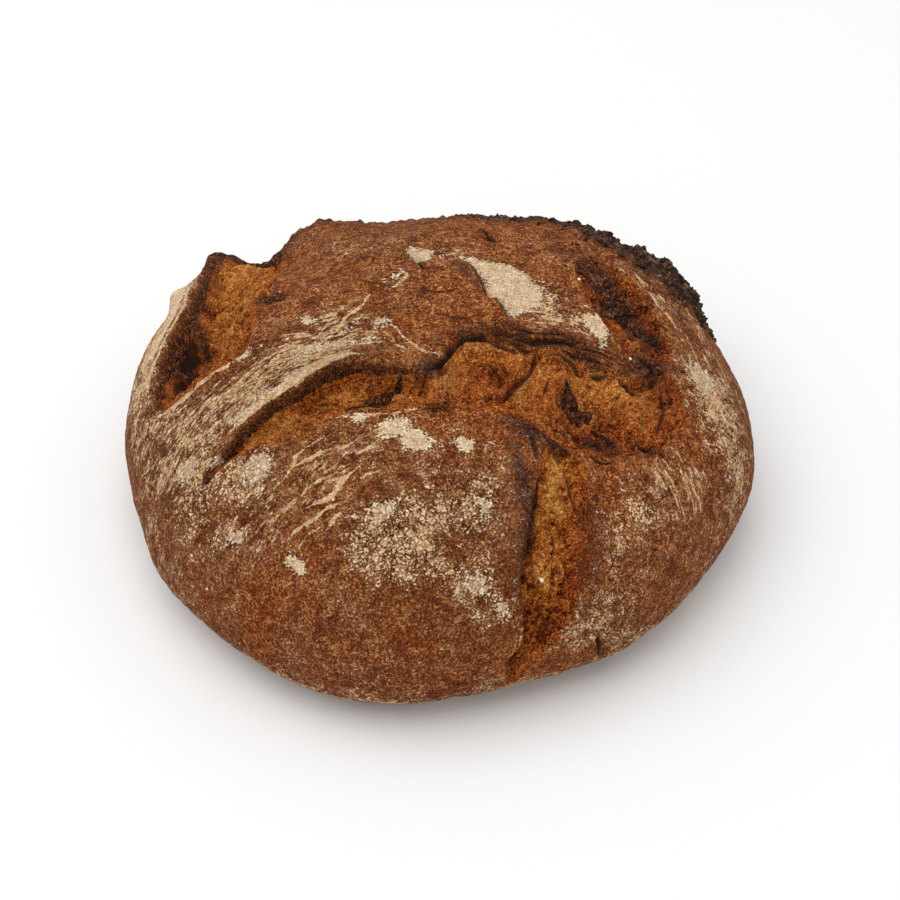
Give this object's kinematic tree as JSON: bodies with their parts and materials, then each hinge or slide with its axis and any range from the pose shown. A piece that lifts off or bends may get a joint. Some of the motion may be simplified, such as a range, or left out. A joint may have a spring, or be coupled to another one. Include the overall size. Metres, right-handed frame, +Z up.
{
  "type": "spelt bread loaf",
  "caption": "Round rustic spelt loaf with a floured brown crust, torn open in furrows that show rough ochre crumb, flat underneath.",
  "frame": {"origin": "centre of the loaf's bounding box on its flat underside, on the surface it rests on", "axes": "+Z up through the crown, -Y towards the front with the long furrow that runs down to the base, +X to the loaf's right, away from the large torn flap"},
  "size_m": [0.2454, 0.2319, 0.0893],
  "materials": {
    "crust": "matt baked brown crust, dusted and streaked with flour",
    "crumb": "matt rough ochre crumb where the crust has torn, charred in its folds"
  },
  "bodies": {
    "root": {"loaf": "crust"}
  },
  "joints": []
}
